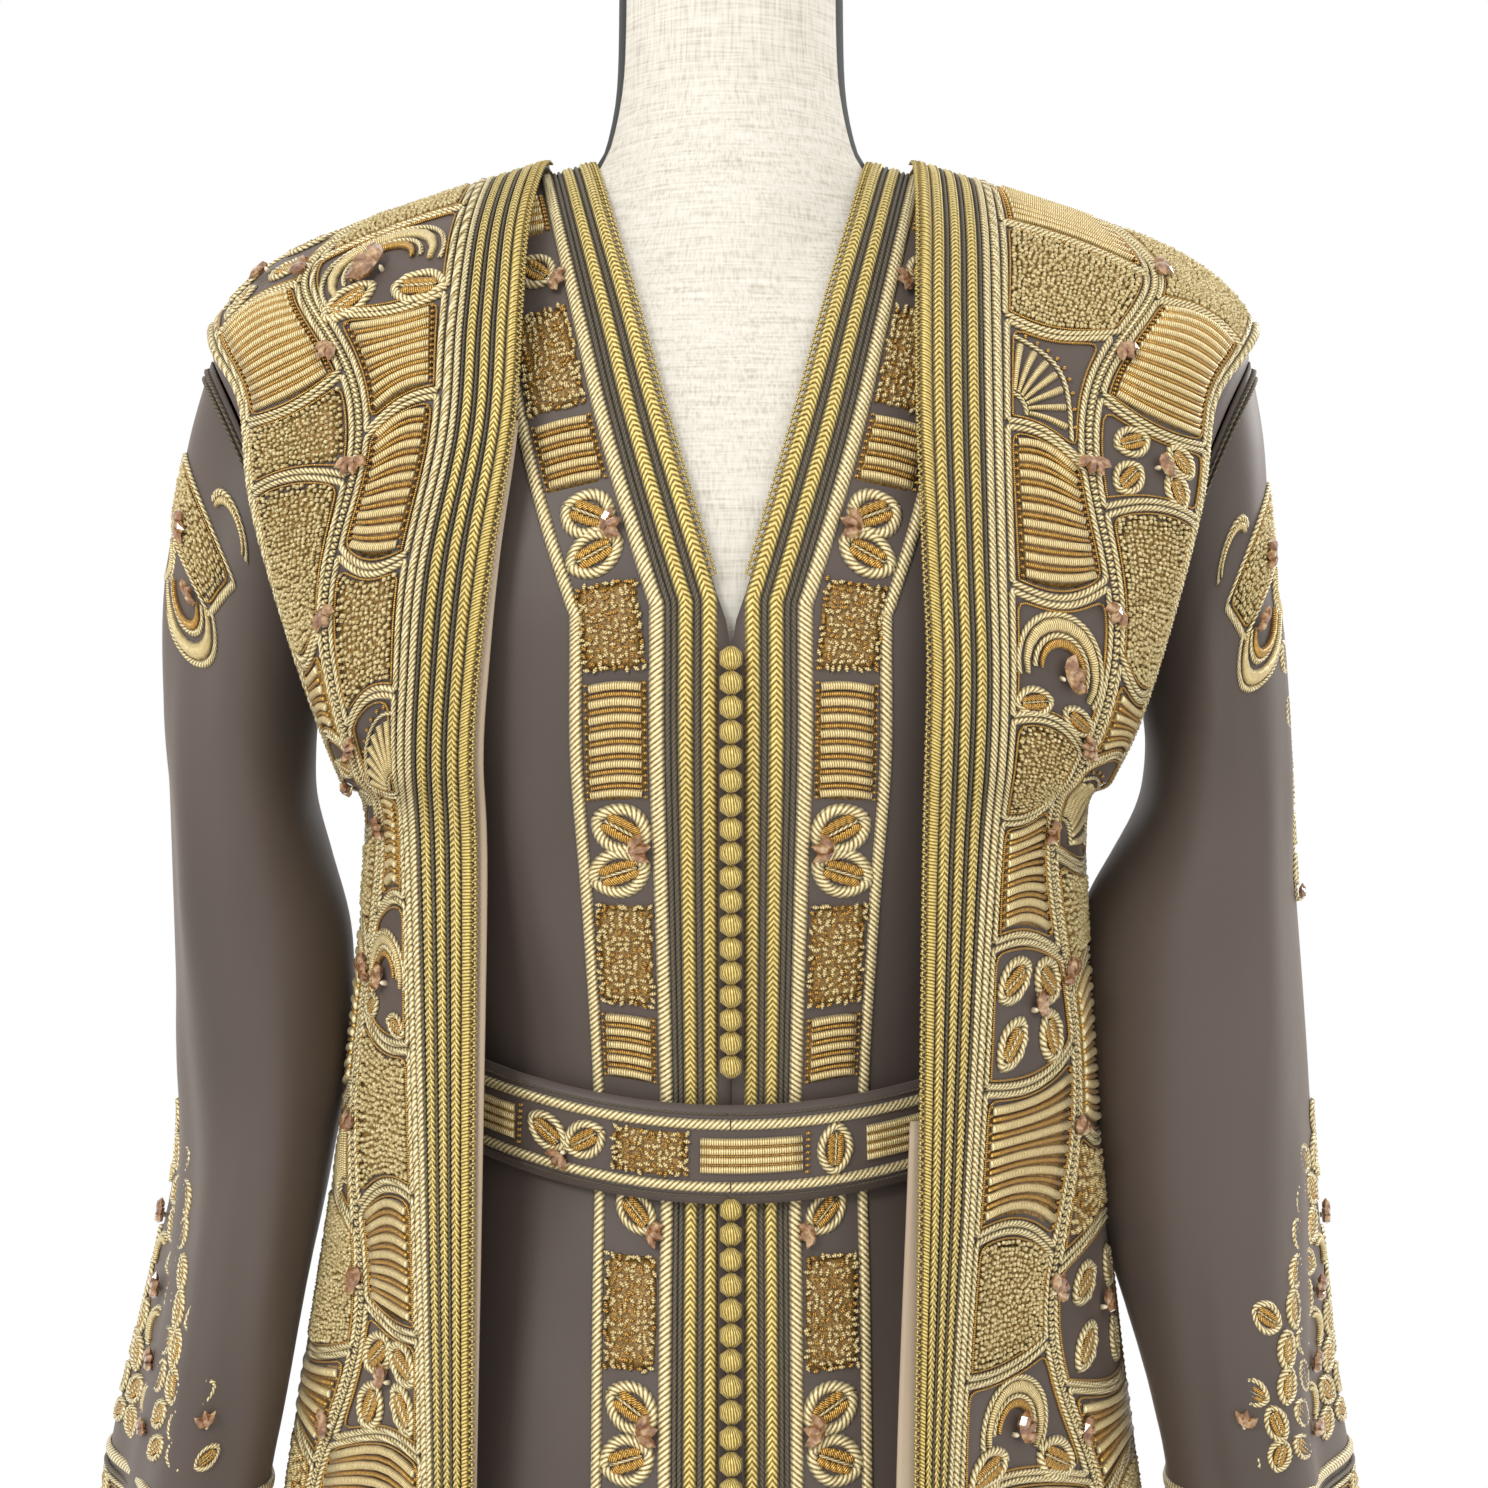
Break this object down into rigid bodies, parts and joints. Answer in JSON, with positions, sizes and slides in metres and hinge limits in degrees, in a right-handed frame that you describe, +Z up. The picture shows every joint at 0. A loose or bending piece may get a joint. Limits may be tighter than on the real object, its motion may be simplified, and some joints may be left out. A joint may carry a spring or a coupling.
{
  "type": "takchita on a dress form",
  "caption": "Two-layer ceremonial dress with an embroidered open robe, a buttoned inner dress with wide sleeves and a stiff belt, worn by a limbless dress form on a round base",
  "frame": {"origin": "middle of the underside of the round base", "axes": "+Z up, front of the dress towards -Y, +X to the right as seen from the front"},
  "size_m": [0.6132, 0.456, 1.541],
  "materials": {
    "satin": "taupe satin crepe",
    "embroidered": "satin crepe covered with gold and champagne thread work",
    "gold": "gold passementerie braid",
    "cord": "dark olive brown passementerie cord",
    "lining": "beige satin lining",
    "canvas": "plain cotton canvas cover",
    "black": "matt black neck cap",
    "steel": "matt black painted steel"
  },
  "bodies": {
    "root": {"form_body": "canvas", "form_cap": "black", "form_pole": "steel", "form_base": "steel", "dress_front_left": "satin", "dress_front_right": "satin", "dress_back": "satin", "dress_sleeve_left": "satin", "dress_sleeve_right": "satin", "dress_braid_left": "gold", "dress_braid_right": "gold", "dress_braid_neck": "gold", "dress_band_left": "embroidered", "dress_band_right": "embroidered", "armhole_braid_left": "cord", "armhole_braid_right": "cord", "cuff_band_left": "embroidered", "cuff_band_right": "embroidered", "buttons_upper": "gold", "buttons_lower": "gold", "belt": "embroidered", "robe_front_left": "embroidered", "robe_front_right": "embroidered", "robe_back": "satin", "robe_braid_left": "gold", "robe_braid_right": "gold", "robe_braid_neck": "gold", "robe_lining_left": "lining", "robe_lining_right": "lining"}
  },
  "joints": []
}
